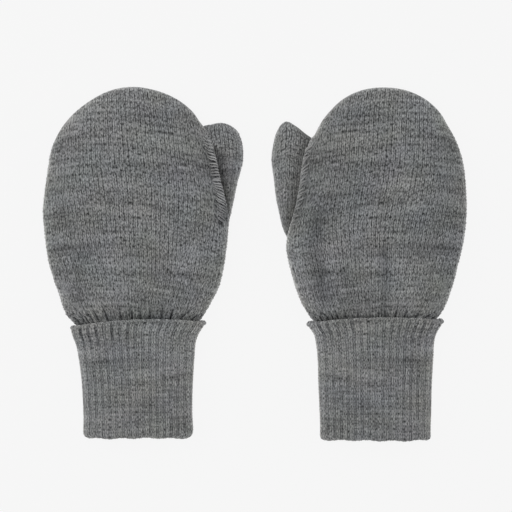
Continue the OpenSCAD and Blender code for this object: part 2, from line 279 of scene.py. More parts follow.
# %% Outlines of hands and thumbs
# From the rim on the little finger's side, over the tip
HAND_LINE = {
    "left": [
        (-24.5, 53.5), (-30.5, 59.5), (-35.5, 65), (-38.2, 73.2), (-41.3, 81.4), (-43.7, 89.6), (-45.6, 101.9),
        (-46.9, 116.2), (-46, 126.5), (-44.3, 138.7), (-42.4, 149), (-39.9, 155.1), (-36.1, 161.3), (-30.6, 167.4),
        (-22.5, 173.6), (-12.4, 178.7), (-0.6, 180.6), (12.2, 178.4), (22.8, 173.6), (30.2, 167.4), (33, 163.3),
        (36.8, 158.2), (39.3, 152.1), (41.4, 143.9), (43.2, 136.2), (45, 129), (47, 121.3), (48.2, 113.7), (48, 107),
        (47, 97.8), (45, 85.5), (42.8, 77.3), (38.8, 69.1), (36.6, 65), (32.5, 59.5), (27.9, 53.5),
    ],
    "right": [
        (-26.1, 53.5), (-30.1, 59.5), (-34.4, 65), (-37.7, 73.2), (-40.1, 81.4), (-42.1, 89.6), (-45.2, 101.9),
        (-46.9, 116.2), (-46.7, 126.5), (-45.5, 138.7), (-43, 149), (-40.5, 155.1), (-37, 161.3), (-33.3, 167.4),
        (-26.8, 173.6), (-16.3, 178.7), (-4, 180.3), (7.8, 178.5), (17.3, 173.6), (23.7, 167.4), (26.9, 163.3),
        (29, 159.7), (31.9, 153.6), (36.5, 143.9), (38.2, 134.9), (40, 122.9), (42.3, 113.8), (44.7, 105.6),
        (45.6, 97.8), (42.9, 85.5), (40.6, 77.3), (37.5, 69.1), (35.1, 65), (31, 59.5), (26.3, 53.5),
    ],
}
# From the thumb's root under the hand, round the tip
THUMB_LINE = {
    "left": [
        (43.5, 107), (41.5, 116), (39.5, 128), (37, 140), (34.6, 150), (33.6, 157), (35.2, 160.4), (39.5, 161.5),
        (43.9, 162.3), (48.4, 161.3), (52.5, 158.2), (54.8, 153.1), (55.5, 146.9), (54.4, 138.7), (52.3, 130.6),
        (50.7, 122.4), (49, 114.2), (47.6, 107),
    ],
    "right": [
        (41, 103), (38.5, 112), (35.5, 122), (32.5, 134), (30, 144), (28.8, 150), (30.6, 152.8), (35.9, 156.9),
        (40, 160.2), (45.3, 163), (48, 161.5), (49.6, 159.2), (51.3, 155.1), (52.5, 149), (52.8, 142.8), (51.9, 134.6),
        (51, 126.5), (49.2, 116.2), (47.1, 108), (45, 103),
    ],
}


# %% Smooth lines
def running(steps):
    return np.concatenate([[0], np.cumsum(steps)])


def even_steps(line, count):
    """Points at equal steps of a line's length."""
    length = running(np.linalg.norm(np.diff(line, axis=0), axis=1))
    at = np.linspace(0, length[-1], count)
    return np.stack([np.interp(at, length, line[:, i]) for i in range(line.shape[1])], axis=1)


def smooth_line(points, count, fine_steps=3000):
    """A smooth line through chosen points, at equal steps of its length."""
    p = np.array(points, float)
    knots = running(np.linalg.norm(np.diff(p, axis=0), axis=1) ** 0.5)
    slope = np.gradient(p, knots, axis=0)
    at = np.linspace(0, knots[-1], fine_steps)
    k = np.clip(np.searchsorted(knots, at) - 1, 0, len(knots) - 2)
    step = (knots[k + 1] - knots[k])[:, None]
    u = (at - knots[k])[:, None] / step
    fine = ((2 * u**3 - 3 * u**2 + 1) * p[k] + (u**3 - 2 * u**2 + u) * step * slope[k]
            + (3 * u**2 - 2 * u**3) * p[k + 1] + (u**3 - u**2) * step * slope[k + 1])
    return even_steps(fine, count)


def along_line(line, share):
    """Points of a line at shares 0 to 1 of its length; the line has equal steps."""
    at = np.asarray(share, float) * (len(line) - 1)
    return np.stack([np.interp(at, np.arange(len(line)), line[:, i]) for i in range(2)], axis=-1)


# %% [markdown]
# The knit is laid over the outline as the knitter made it. The wales start at the cuff,
# run up the hand and end on the curve of the tip; they don't all run to one point. A
# Coons patch does just that: it fills the space between four border lines, the cuff, the
# two sides and the tip, and keeps the lines inside in step with the borders.


# %% A patch between the sides and the tip
def split_outline(points, low_share, high_share, steps=2400, border_steps=600):
    """The outline's first side, its top and its last side, cut at two shares of its length."""
    line = smooth_line(points, steps + 1)
    low, high = int(low_share * steps), int(high_share * steps)
    parts = line[:low + 1], line[low:high + 1], line[high:]
    first, top, last = (even_steps(part, border_steps + 1) for part in parts)
    return first, top, last[::-1]


def coons_patch(borders, across, along):
    """Plan of shares across (rows x columns) and along (rows)."""
    outer, top, thumb_side = borders
    v = np.asarray(along)[:, None, None]
    u = across[..., None]
    a, b = along_line(outer, along)[:, None, :], along_line(thumb_side, along)[:, None, :]
    tip = along_line(top, across)
    base = outer[0] * (1 - u) + thumb_side[0] * u
    corners = ((1 - u) * (1 - v) * outer[0] + u * (1 - v) * thumb_side[0]
               + (1 - u) * v * top[0] + u * v * top[-1])
    return (1 - v) * base + v * tip + (1 - u) * a + u * b - corners


# %% Flattened rings
def flat_ring(angle, fullness):
    """Across and up, from -1 to 1, at angles round a ring that is an ellipse at fullness 2 and squarer above it."""
    return [np.sign(part) * np.abs(part) ** (2 / fullness) for part in (np.cos(angle), np.sin(angle))]


def eased(t):
    """0 below 0, 1 above 1, and a soft step between."""
    c = np.clip(t, 0, 1)
    return c * c * (3 - 2 * c)


def bell(x, width):
    return np.exp(-((x / width) ** 2))


def round_the_ring(half_w, half_h, fullness, columns, fine_steps=1440):
    """Angles at equal steps of a flattened ring's length, one row for each ring."""
    fine = np.linspace(0, 2 * np.pi, fine_steps + 1)
    x, z = flat_ring(fine, fullness)
    rows = []
    for w, h in zip(half_w, half_h):
        length = running(np.hypot(np.diff(x) * w, np.diff(z) * h))
        rows.append(np.interp(np.linspace(0, length[-1], columns + 1), length, fine))
    return np.array(rows)


def rings_between(borders, v, half_h, fullness, columns, inset, length):
    """The plan of rings at shares v of an outline's length, the share across, the lift (0 at the edges, 1 in the
    middle), whether a column is on the upper side, and half the width of each ring."""
    half_w = np.linalg.norm(along_line(borders[0], v) - along_line(borders[2], v), axis=1) / 2
    angle = round_the_ring(half_w, half_h, fullness, columns)
    x, z = flat_ring(angle, fullness)
    across, lift = (1 + x) / 2, np.abs(z)
    across[:, [0, -1]], across[:, columns // 2] = 1, 0
    lift[:, [0, columns // 2, columns]] = 0
    drawn_in = 0.5 + (across - 0.5) * (1 - inset / half_w[:, None])
    upper = np.arange(columns + 1)[None, :] <= columns // 2
    return coons_patch(borders, drawn_in, v * (1 - inset / length)), across, lift, upper, half_w[:, None]


# %% [markdown]
# A loop of stocking stitch shows as a V: two legs that lean apart as they climb, with a
# dark hollow between two columns and a smaller one in the middle of the V. The hand's mesh
# has four columns for each V, one in each hollow and one on each leg, and three rows.


# %% Relief of the two stitches
def jersey_relief(s, t):
    """Height (0 to 1) and sideways shift (in wales) of stocking stitch at wale s and course t."""
    across = s - np.floor(s) - 0.5
    climb = t - np.floor(t)
    leg = 0.12 + 0.2 * climb
    height = bell(np.abs(across) - leg, 0.15) * (0.45 + 0.55 * np.sin(np.pi * (0.12 + 0.8 * climb)))
    near_leg = bell(np.abs(across) - 0.25, 0.12)
    return height, np.sign(across) * (leg - 0.25) * near_leg


def rib_relief(s, t):
    """Height of one-by-one rib at rib s and course t: a raised wale with two legs, a sunken one of small bars."""
    across = np.abs(s - np.floor(s) - 0.5)
    climb = t - np.floor(t)
    raised = eased((0.40 - across) / 0.12)
    leg = 0.12 + 0.09 * climb
    vee = bell(across - leg, 0.1) * (0.45 + 0.55 * np.sin(np.pi * (0.12 + 0.8 * climb)))
    bar = bell(across - 0.5, 0.11) * (0.35 + 0.65 * np.sin(np.pi * climb))
    return 0.45 * raised + 0.55 * vee * raised + 0.6 * bar * (1 - raised)


# %% Unevenness of hand and yarn
def ripple(s, t, length_s, length_t, seed, waves=7):
    """Smooth unevenness: a few random waves of about these wavelengths, from about -1 to 1."""
    draw = np.random.default_rng(seed)
    total = 0
    for _ in range(waves):
        turn, phase = draw.uniform(0, 2 * np.pi, 2)
        total = total + np.sin(2 * np.pi * (s * np.cos(turn) / length_s + t * np.sin(turn) / length_t) + phase)
    return total / 4


def stitch_noise(courses, wales, course, s):
    """One random number for each stitch, read at whole courses and at wales s."""
    stitch = RANDOM.normal(0, 1, (courses + 2, wales + 2))
    return stitch[course.astype(int), np.floor(s).astype(int) % wales]


# %% From a grid of places to a knitted mesh
SAME_PLACE = 2e-7


def stitch_grid(t, wales, columns):
    """Wale and course of each place of a grid, from the course of each row."""
    s = np.linspace(0, wales, columns + 1)[None, :] + np.zeros((len(t), 1))
    return s, t[:, None] + np.zeros((1, columns + 1))


def closed_round(places, both_ways=False):
    """The grid closed round its columns, or both ways, with nothing below the table."""
    places[:, -1] = places[:, 0]
    if both_ways:
        places[-1] = places[0]
    places[..., 2] = np.maximum(places[..., 2], 0.0)
    return places


def grid_piece(side, name, places, s, t, relief):
    """A mesh from rows x columns places of a mitten, or from several such grids. Its UV map counts wales s and courses
    t, and its attribute says how much light each point keeps: below 1 it is painted shade, above 1 painted light."""
    grids = places.reshape(-1, *places.shape[-3:])
    rows, columns = grids.shape[1:3]
    bm = bmesh.new()
    bm.loops.layers.uv.new("stitches")
    for _ in grids:
        bmesh.ops.create_grid(bm, x_segments=columns - 1, y_segments=rows - 1, size=0.5, calc_uvs=True)
    mesh = bpy.data.meshes.new(name)
    bm.to_mesh(mesh)
    bm.free()
    mesh.vertices.foreach_set("co", in_pair(side, places).reshape(-1).astype(np.float32))
    corner = np.zeros(len(mesh.loops), np.int32)
    mesh.loops.foreach_get("vertex_index", corner)
    stitches = np.stack(np.broadcast_arrays(s, t), axis=-1).reshape(-1, 2)[corner]
    mesh.uv_layers["stitches"].data.foreach_set("uv", stitches.reshape(-1).astype(np.float32))
    kept = mesh.attributes.new("relief", "FLOAT", "POINT")
    kept.data.foreach_set("value", relief.reshape(-1).astype(np.float32))
    bm = bmesh.new()
    bm.from_mesh(mesh)
    bmesh.ops.remove_doubles(bm, verts=bm.verts, dist=SAME_PLACE)
    bmesh.ops.recalc_face_normals(bm, faces=bm.faces)
    for face in bm.faces:
        face.smooth = True
    bm.to_mesh(mesh)
    bm.free()
    piece = new_object(name, mesh)
    mesh.calc_loop_triangles()
    print(f"{name}: {len(mesh.loop_triangles)} triangles")
    return piece


def unit(vectors):
    return vectors / np.maximum(np.linalg.norm(vectors, axis=-1, keepdims=True), 1e-9)


def outward(places):
    """Unit normals and unit directions along the rows, for a grid that closes round its columns."""
    ring = places[:, :-1]
    along = np.roll(ring, -1, axis=1) - np.roll(ring, 1, axis=1)
    normal = np.cross(np.gradient(ring, axis=0), along)
    return [np.concatenate([a, a[:, :1]], axis=1) for a in (unit(normal), unit(along))]


def painted_edge_sheen(normal):
    """Painted sheen: the cloth is lighter where it turns to the side, as light catches its fuzz edge-on."""
    return 2.4 * (1 - np.abs(normal[..., 2])) ** 0.85


# %% From a mesh to a piece of the part
# Where a thumb's bend would start and be full, outwards from its hinge; the thumb is not bent
BEND_START, BEND_END = -5, 6


def follow(piece, body):
    """A piece rides with its body. A thumb on a hinge has its transform applied to its mesh instead; the points where
    its bend would start and end are worked out but not used.
    """
    fold = next((j for j in frame["joints"] if j["child"] == body and j["type"] == "hinge"), None)
    if fold is None:
        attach(piece, body)
        return
    seam, out = np.array(fold["pos_m"]), np.cross((0, 0, 1), fold["axis"])
    start, end = (tuple(seam + reach * MM * out) for reach in (BEND_START, BEND_END))
    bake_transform(piece)
    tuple(start)
    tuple(end)


def finish_piece(side, piece, material, body, node):
    """A piece gets its yarn, is handed to follow with its body and takes the place of a solid of the frame, which is
    hidden.
    """
    piece.data.materials.append(material)
    follow(piece, f"{side}_{body}")
    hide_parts(f"{side}_{node}")


# %% [markdown]
# The hand is a slack bag. Its cross-section is a flattened oval, thickest in the middle,
# that closes towards the tip. Beside the thumb its edge is lifted and its palm side rises
# with it, because there the hand lies on top of the thumb.

# %% Sizes of the hand
HAND_THICK, HAND_FULLNESS, HAND_LENGTH = 15.0, 2.6, 127
# Where the outline is cut into side, tip and side; where the bag starts to close, and how bluntly it does
HAND_SPLIT = (0.315, 0.66)
HAND_CLOSES = (0.62, 2.4)
WALES, COURSES = 96, 76
STITCH_HIGH = 0.7
# How much the loops differ in height
UNEVEN = 0.16
# The length that the courses are counted on
CLOTH_RUN = 134.0
# Heights: the tip, the edge, the edge's rise over the thumb, and the wrist above and below
TIP_LEVEL, EDGE_LEVEL, EDGE_RISE = 5.6, 6.6, 4.2
WRIST_HIGH, WRIST_LOW = 10.6, 1.8
# Where the hand is narrowest, and where its gathered cloth comes out of the cuff
WAIST_Y, GATHER_Y = 61, 62.3

# %% Where the two hands differ
# How high the edge stands over the furrow beside it, along the thumb
RIDGE = {"left": 1.3, "right": 0.8}
# The courses' arch: where it peaks along x, and how much it bends
ARCH = {"left": (-17.0, 0.0027), "right": (-20.0, 0.0018)}
# Where the cloth creases as it is gathered into the cuff, along x
PUCKERS = {
    "left": [-29.0, -27.4, -25.8, -24.2, -22.6, -20.4, -17.6, -12.8, -6.2, -0.6, 3.5, 8.1, 13.7, 18.3, 23.5, 29.1],
    "right": [-31.3, -27.8, -24.3, -19.5, -14.0, -9.4, -4.9, -1.3, 2.7, 8.5, 14.7, 18.6, 21.0, 23.3, 26.7, 31.0],
}
# How far up the hand the creases reach, and how deep they are
GATHER = {"left": dict(reach=(4.0, 6.5), depth=(0.8, 1.3)), "right": dict(reach=(2.2, 4.5), depth=(0.45, 1.1))}
# Where slack cloth has sunk in or stands up: points along each fold, its depth and its half width
FOLDS = {
    "left": [([(-26.5, 92), (-27.5, 82), (-28.5, 70)], 1.0, 4.5), ([(2, 90), (8, 89), (13, 86)], 0.6, 4.5),
             ([(-37, 120), (-35, 112)], 0.7, 5.0), ([(-12, 95), (-11, 78)], -0.5, 5.0),
             ([(29, 86), (31, 94)], -0.5, 5.0)],
    "right": [([(28.5, 112), (29.8, 106), (30.3, 94), (28.3, 82), (27.5, 72)], 1.5, 4.0),
              ([(8, 125), (20, 124), (26, 118)], 0.8, 4.5), ([(-5, 96), (-5.5, 79), (-4, 65)], 1.2, 2.6),
              ([(14, 82), (12, 74), (17, 70)], 0.7, 3.0), ([(-14, 127), (-21, 120)], -0.9, 6.0),
              ([(-17, 84), (-18, 74)], -1.0, 6.0), ([(41, 102), (38, 84)], -0.5, 3.0)],
}
# The thumb's seam: its two ends and its step along y, how much painted shade the ditch under the stitches and the
# holes at their inner ends get, a stitch's radius and lift, and how roughly it is sewn. Each row of the path gives y,
# how far a stitch leans, and how far its two ends lie from the edge.
SEAM = {
    "left": dict(at=(109.5, 148.0), step=1.4, ditch=1.7, hole=1.7, radius=0.43, lift=0.75, rough=0.25,
                 path=((109, -0.8, 2.9, 6.9), (118, -0.3, 1.8, 6.9), (123, 0.0, 0.7, 6.9), (127, 3.0, 0.1, 6.9),
                       (130, 5.0, 0.05, 6.9), (135, 5.0, 0.05, 6.9), (138, 3.2, 0.1, 7.2), (142, 2.4, 0.9, 7.8),
                       (147, 3.2, 2.4, 8.4))),
    "right": dict(at=(108.0, 147.0), step=1.9, ditch=0.55, hole=1.0, radius=0.42, lift=0.6, rough=1.0,
                  path=((108, 0.3, 0.05, 5.8), (128, 0.9, 0.05, 6.2), (148, 0.6, 0.05, 6.2))),
}


def seam_path(side, y):
    """Lean, and the distances of a stitch's outer and inner end from the edge."""
    at, *columns = np.array(SEAM[side]["path"]).T
    return [np.interp(y, at, column) for column in columns]


# %% Form of the hand
def closing(v, start, power):
    """How open a bag still is at shares v of its length: 1 up to the start, 0 at the tip."""
    return np.sqrt(np.clip(1 - np.clip((v - start) / (1 - start), 0, 1) ** power, 0, 1))


def window(y, low, low_soft, high, high_soft):
    """1 between low and high, with soft ends."""
    return eased((y - low) / low_soft) * (1 - eased((y - high + high_soft) / high_soft))


def hand_form(side, columns, rows, inset, fine_steps=801):
    """Places of the hand's smooth skin, each row's share of the way up, each place's distance from the thumb's edge
    and how much it lies beside the thumb, and how open the bag still is."""
    borders = split_outline(HAND_LINE[side], *HAND_SPLIT)
    # The rows are evenly spaced up the back and round the tip
    v_fine = np.linspace(0, 1, fine_steps)
    middle = coons_patch(borders, np.full((fine_steps, 1), 0.5), v_fine)[:, 0]
    drop = np.diff(closing(v_fine, *HAND_CLOSES)) * HAND_THICK / 2
    run = running(np.hypot(np.diff(middle[:, 1]), drop))
    v = np.interp(np.linspace(0, run[-1], rows), run, v_fine)
    c = closing(v, *HAND_CLOSES)
    plan, across, lift, upper, half_w = rings_between(borders, v, HAND_THICK / 2 * c + 0.01, HAND_FULLNESS, columns,
                                                      inset, HAND_LENGTH)
    y, c = plan[..., 1], c[:, None]
    # The edge lies half way up, but higher over the thumb, where the palm side rises to it
    beside = window(y, 100, 14, 168, 12)
    edge = EDGE_LEVEL + EDGE_RISE * beside * eased((across - 0.55) / 0.4)
    high = WRIST_HIGH + (HAND_THICK - WRIST_HIGH) * eased((y - 55) / 16)
    low = WRIST_LOW * (1 - eased((y - 61.6) / 5))
    inside = (1 - across) * 2 * half_w
    over_thumb = edge * np.clip(1 - inside / 14, 0, 1) ** 1.5
    mix = beside * eased((across - 0.6) / 0.2)
    under = (edge - (edge - low) * lift) * (1 - mix) + over_thumb * mix
    top = edge + (high - edge) * lift
    z = TIP_LEVEL + (np.where(upper, top - inset, under + inset) - TIP_LEVEL) * c
    edges = [0, columns // 2]
    z[:, edges] = TIP_LEVEL + (edge[:, edges] - TIP_LEVEL) * c
    places = np.concatenate([plan, z[..., None]], axis=2)
    places[:, -1] = places[:, 0]
    return places, v, np.where(upper, inside, 99), beside, c


def fold_depth(side, places):
    """How deep the hand's upper skin has sunk at each place."""
    depth = 0
    for line, deep, wide in FOLDS[side]:
        near = np.linalg.norm(places[..., None, :2] - smooth_line(line, 20), axis=-1).min(axis=-1)
        depth = depth + deep * bell(near, wide)
    return depth * eased((places[..., 2] - 8) / 2)


def pucker_depth(side, places, s):
    """How deep the cloth creases at each place, where the wide hand is gathered into the cuff."""
    y, half = places[..., 1], places.shape[1] // 2
    rise = np.clip(y - GATHER_Y, 0, None)
    waist = np.argmin(np.abs(y[:, half // 2] - WAIST_Y))
    draw = np.random.default_rng(71 + DIRECTION[side])
    depth = 0
    for x in PUCKERS[side]:
        at = np.clip(np.interp(x, places[waist, half::-1, 0], s[waist, half::-1]), 3, WALES / 2 - 3)
        reach, width = draw.uniform(*GATHER[side]["reach"]), draw.uniform(0.3, 0.42)
        # The outermost creases fan out with the hand's sides
        fan = 1.1 * np.sign(x) * eased((abs(x) - 19) / 9)
        for wale, turn in ((at, -fan), (WALES - at, fan)):
            crease = np.exp(-(((s - wale - turn * rise) / width) ** 2) - (rise / reach) ** 2)
            depth = depth + draw.uniform(*GATHER[side]["depth"]) * crease
    return depth


def hand_light(side, y, inside, normal, s, t, uneven, pucker, folds):
    """The painted shade of creases and folds, of the hollow above the rim and of the seam's ditch and holes, and the
    painted light of the sides and of the hand above the cuff.
    """
    low, high = SEAM[side]["at"]
    _, near, far = seam_path(side, y - 3)
    reach = 0.36 * (far - near)
    # Painted shade in the ditch under the seam's stitches, and on the cloth between the seam and the edge lower down
    ditch = window(y, low - 3, 4, high + 2, 4) * np.exp(-(((inside - near - reach) / reach) ** 4))
    ditch = ditch + 0.5 * window(y, low, 4, high - 20, 8) * eased((near - inside) / 0.8)
    # The stitches dive into the cloth in a row of holes, which get painted shade
    hole = bell(inside - far - 0.4, 0.7) * window(y, low, 3, high + 5, 5)
    hole = hole * np.clip(0.35 + 0.9 * ripple(s, t, 2.2, 1.6, 91), 0, 1.3) * (1 + 0.9 * eased((y - 143) / 5))
    # Painted shade in the hollow just above the rim, and painted light on the lower hand above the cuff
    hollow = 0.35 * (1 + ripple(s, t, 9, 3, 93) + 0.8 * uneven) * bell(y - 62.8, 1.4)
    rim_shade = hollow - 0.2 * (1 - eased((y - 68) / 16))
    creases = 1.6 * np.clip(pucker, 0, 1.2) + 0.5 * folds
    shade = creases + rim_shade + SEAM[side]["ditch"] * ditch + SEAM[side]["hole"] * hole
    painted_light = painted_edge_sheen(normal) * (1 - window(y, low, 6, high + 10, 6) * (inside < 40)) * eased((y - 62) / 6)
    return shade, painted_light


# Each hand's smooth skin, for the seam sewn on it
HAND_SKIN = {}


# %% Knit a hand
def knit_hand(side, name, columns_per_wale=4, rows_per_course=3, inset=0.0, relief=STITCH_HIGH):
    columns, rows = WALES * columns_per_wale, COURSES * rows_per_course + 1
    places, v, inside, beside, c = hand_form(side, columns, rows, inset)
    normal, sideways = outward(places)
    x, y, flat = places[..., 0], places[..., 1], np.abs(normal[..., 2])
    # The mesh's rows bend with the tip, but the courses stay nearly level and end on the outline
    s, t = stitch_grid(np.linspace(0, COURSES, rows), WALES, columns)
    peak, bend = ARCH[side]
    t = t + COURSES / CLOTH_RUN * (y - y[:, [columns // 4]] + bend * ((x - peak) ** 2 - peak**2))
    # Puckers, soft folds, slack and lumps of the cloth, and the ridge beside the thumb
    pucker, folds = pucker_depth(side, places, s), fold_depth(side, places)
    slack = ripple(x, y, 38, 55, 5 + DIRECTION[side])
    lumps = ripple(s, t, 7, 5, 61 + DIRECTION[side])
    ridge = bell(inside - 2.4, 1.3) - 0.7 * bell(inside - 5.4, 1.1)
    push = -1.3 * pucker - folds + (0.45 * slack + 0.16 * lumps * flat) * c + RIDGE[side] * ridge * beside
    fade = np.clip((1 - v) * rows / 3, 0, 1)[:, None]
    smooth = places + normal * (push * fade)[..., None]
    if not inset:
        HAND_SKIN[side] = smooth, normal, inside
    # The loops
    wobbled_s = s + 0.12 * ripple(s, t, 9, 14, 8) * (1 - v)[:, None]
    wobbled_t = t + 0.15 * ripple(s, t, 13, 9, 9)
    height, shift = jersey_relief(wobbled_s, wobbled_t)
    uneven = stitch_noise(COURSES, WALES, np.floor(t) % COURSES, s)
    calm = 0.75 + 0.25 * flat
    places = smooth + normal * (relief * (height * (1 + UNEVEN * uneven) - 0.5) * fade * calm)[..., None]
    wale = np.linalg.norm(np.roll(places, -1, axis=1) - places, axis=2)[..., None] * columns_per_wale
    places = places + sideways * (shift * fade)[..., None] * np.minimum(wale, 2.4) * (relief > 0)
    # The attribute: painted shade in the loops' hollows and in creases, and painted light on the sides
    shade, painted_light = hand_light(side, y, inside, normal, s, t, uneven, pucker, folds)
    return grid_piece(side, name, closed_round(places), wobbled_s, wobbled_t, height * fade - shade + painted_light)


# %% The hands and their lining
for side in DIRECTION:
    hand = knit_hand(side, f"{side}_jersey_hand")
    finish_piece(side, hand, JERSEY, "hand", "hand_shell")
    lining = knit_hand(side, f"{side}_fleece_hand", 1, 1, inset=2.0, relief=0)
    finish_piece(side, lining, FLEECE, "hand", "hand_lining")

# %% [markdown]
# The thumb is sewn into the hand by an overcast seam: one thread is whipped over the
# joined edges again and again. Each stitch is a short tube that climbs out of the cloth,
# crosses the ridge and dives in again at the hand's edge. All tubes are one piece.


# %% The overcast thumb seam
def on_hand(side, row, distance):
    """Places and normals of the hand's upper skin at rows and distances in from the thumb's edge."""
    smooth, normal, inside = HAND_SKIN[side]
    half = (inside.shape[1] - 1) // 2
    found = []
    for r, d in zip(row, distance):
        low, share = int(r), r - int(r)
        both = [[np.interp(d, inside[k, :half], grid[k, :half, i]) for grid in (smooth, normal) for i in range(3)]
                for k in (low, low + 1)]
        found.append(np.array(both[0]) * (1 - share) + np.array(both[1]) * share)
    found = np.array(found)
    return found[:, :3], found[:, 3:]


def tube_round(path, outward_dir, radius, sides=8):
    """Rings of a tube along a path."""
    ahead = unit(np.gradient(path, axis=0))
    across = unit(np.cross(ahead, outward_dir))
    up = np.cross(across, ahead)
    turn = np.linspace(0, 2 * np.pi, sides + 1)[None, :, None]
    return path[:, None] + radius[:, None, None] * (np.cos(turn) * up[:, None] + np.sin(turn) * across[:, None])


def sew_thumb_seam(side, name, points=11):
    seam = SEAM[side]
    rough = seam["rough"]
    rows_y = HAND_SKIN[side][0][:, 0, 1]
    draw = np.random.default_rng(81 + DIRECTION[side])
    share = np.linspace(0, 1, points)
    rise = seam["lift"] * np.sin(np.pi * np.clip(share * 1.04, 0, 1)) ** 0.45 - 0.15
    thick = np.sqrt(np.clip(np.sin(np.pi * share), 0, 1))
    stitches = []
    for y in np.arange(*seam["at"], seam["step"]):
        lean, near, far = seam_path(side, y)
        lean = lean + draw.normal(0, rough)
        row = np.interp(y + lean * (share - 0.5) + draw.normal(0, 0.4 * rough), rows_y, np.arange(len(rows_y)))
        reach = (far - near) * (1 - share) ** 1.1 * draw.uniform(1 - 0.4 * rough, 1.08)
        place, normal = on_hand(side, row, reach + near)
        radius = seam["radius"] * draw.uniform(0.85, 1.1) * thick + 1e-6
        stitches.append(tube_round(place + normal * rise[:, None], normal, radius))
    places = np.array(stitches)
    count, _, ring = places.shape[:3]
    u, v, w = np.meshgrid(np.arange(count) * 3.0, share * 3, np.linspace(0, 2, ring), indexing="ij")
    # Painted shade on the stitches near the wrist
    height = 1 - 0.5 * eased((123 - places[..., 1]) / 6)
    return grid_piece(side, name, places, u + w, v, height)


for side in DIRECTION:
    seam = sew_thumb_seam(side, f"{side}_overcast_seam")
    finish_piece(side, seam, THREAD, "hand", "thumb_seam")

# %% [markdown]
# The thumb is a small bag of its own, knitted finer. It starts thin under the hand's
# edge, lies on the table with its inner side tucked below the hand, and ends in a blunt
# tip. It is one closed skin, and its root is drawn together under the hand's edge.

# %% Sizes of the thumb
THUMB_WALES, THUMB_COURSES = 26, 40
THUMB_THICK, THUMB_FULLNESS, THUMB_LENGTH = 10.6, 2.4, 55
THUMB_CLOSES = (0.72, 2.6)
THUMB_MIDDLE = 3.6
# Where the outline is cut into side, tip and side; how much height is left under the hand's edge, how far across that
# is and how much less far at the tip; the loops' height; the painted sheen all over, and the painted light in the
# valley along the hand; and the yarn
THUMB_SIDE = {
    "left": dict(split=(0.425, 0.585), sunk=0.05, start=0.3, less=0.6, high=0.75, painted_light=0.6, valley=0.0, yarn=THUMB),
    "right": dict(split=(0.41, 0.6), sunk=0.3, start=0.1, less=0.0, high=0.45, painted_light=0.4, valley=0.65, yarn=JERSEY),
}
# The line of the hand's edge beside the thumb: x at y = 0, and how much x falls with y
EDGE_X, EDGE_SLOPE = 64.0, 0.193


def thumb_form(side, columns, rows, inset):
    """Places of the thumb's smooth skin, and each row's share of the way to the tip."""
    own = THUMB_SIDE[side]
    borders = split_outline(THUMB_LINE[side], *own["split"])
    v = np.linspace(0, 1, rows) ** 0.96
    c = closing(v, *THUMB_CLOSES)
    full = 0.55 + 0.45 * eased(v / 0.35)
    plan, across, lift, upper, _ = rings_between(borders, v, THUMB_THICK / 2 * c * full + 0.01, THUMB_FULLNESS, columns,
                                                 inset, THUMB_LENGTH)
    start = own["start"] - own["less"] * eased((v - 0.66) / 0.2)[:, None]
    tucked = own["sunk"] + (1 - own["sunk"]) * eased((across - start) / 0.6)
    top = THUMB_MIDDLE + (THUMB_THICK * full[:, None] - THUMB_MIDDLE) * lift * tucked
    under = THUMB_MIDDLE * (1 - lift) + 0.2
    z = THUMB_MIDDLE + (np.where(upper, top - inset, under + inset) - THUMB_MIDDLE) * c[:, None]
    z[:, [0, columns // 2, columns]] = THUMB_MIDDLE
    places = np.concatenate([plan, z[..., None]], axis=2)
    places[:, -1] = places[:, 0]
    return places, v


# %% Knit a thumb
def knit_thumb(side, name, relief, columns_per_wale=6, rows_per_course=4, inset=0.0):
    columns, rows = THUMB_WALES * columns_per_wale, THUMB_COURSES * rows_per_course + 1
    places, v = thumb_form(side, columns, rows, inset)
    normal, _ = outward(places)
    s, t = stitch_grid(np.linspace(0, THUMB_COURSES, rows), THUMB_WALES, columns)
    t = t + 0.1 * ripple(s, t, 13, 9, 19)
    height, _ = jersey_relief(s, t)
    uneven = stitch_noise(THUMB_COURSES, THUMB_WALES, np.clip(np.floor(t), 0, THUMB_COURSES), s)
    fade = np.minimum(np.clip((1 - v) * rows / 4, 0, 1), np.clip(v * 20, 0, 1))[:, None]
    slack = 0.3 * ripple(places[..., 0], places[..., 1], 14, 20, 31) * (inset == 0)
    push = relief * (height * (1 + UNEVEN * uneven) - 0.5) + slack
    places = closed_round(places + normal * (push * fade)[..., None])
    # The root ends in one row that is drawn together
    places[0] = places[0].mean(axis=0)
    # Painted light: where the hand's edge lies close on its thumb, the shaded valley between them is painted lighter
    own = THUMB_SIDE[side]
    from_edge = places[..., 0] - EDGE_X + EDGE_SLOPE * places[..., 1]
    valley = own["valley"] * eased((5 - from_edge) / 4) * eased((145 - places[..., 1]) / 12)
    painted_light = own["painted_light"] * painted_edge_sheen(normal) + valley
    return grid_piece(side, name, places, s, t, height * fade + painted_light)


# %% The thumbs and their lining
for side, own in THUMB_SIDE.items():
    thumb = knit_thumb(side, f"{side}_jersey_thumb", own["high"])
    finish_piece(side, thumb, own["yarn"], "thumb", "thumb_shell")
    lining = knit_thumb(side, f"{side}_fleece_thumb", 0, columns_per_wale=2, rows_per_course=1, inset=1.8)
    finish_piece(side, lining, FLEECE, "thumb", "thumb_lining")

# %% [markdown]
# The cuff is a tube of one-by-one rib that is turned back over itself. Rib pulls together
# like a concertina: raised wales with deep valleys between them. The turned-back ply is
# made as one closed skin: up the outside, over the bound-off rim, down between the plies,
# and round the fold. Its rim flares where nothing holds it.

